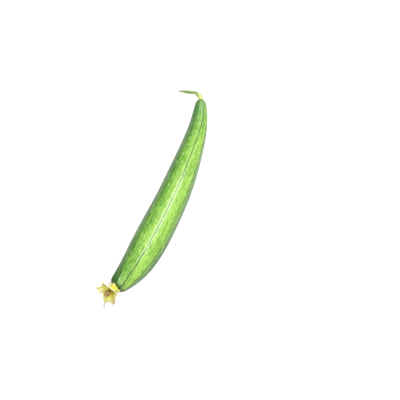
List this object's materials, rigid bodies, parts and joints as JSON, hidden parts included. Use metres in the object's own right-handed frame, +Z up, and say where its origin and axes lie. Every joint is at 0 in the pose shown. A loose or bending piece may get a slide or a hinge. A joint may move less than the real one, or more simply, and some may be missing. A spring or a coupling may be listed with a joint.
{
  "type": "sponge gourd",
  "caption": "Long, slender, gently bowed smooth sponge gourd lying on its side, with its short bent stem, a small rolled leaf on the stem and the withered flower at its far end.",
  "frame": {"origin": "on the resting surface, under the middle of the whole gourd's bounding box", "axes": "+Z up from the resting surface; +X along the chord of the fruit, from the withered flower to the stem; the fruit bows towards -Y"},
  "size_m": [0.3682, 0.0852, 0.0465],
  "materials": {
    "gourd_skin": "satin",
    "stem_skin": "matte",
    "stem_leaf": "matte",
    "calyx": "matte",
    "petal": "matte",
    "pistil": "matte"
  },
  "bodies": {
    "root": {"fruit": "gourd_skin", "stem": "stem_skin", "stem_leaf": "stem_leaf", "calyx": "calyx", "petal_1": "petal", "petal_2": "petal", "petal_3": "petal", "petal_4": "petal", "petal_5": "petal", "pistil": "pistil"}
  },
  "joints": []
}
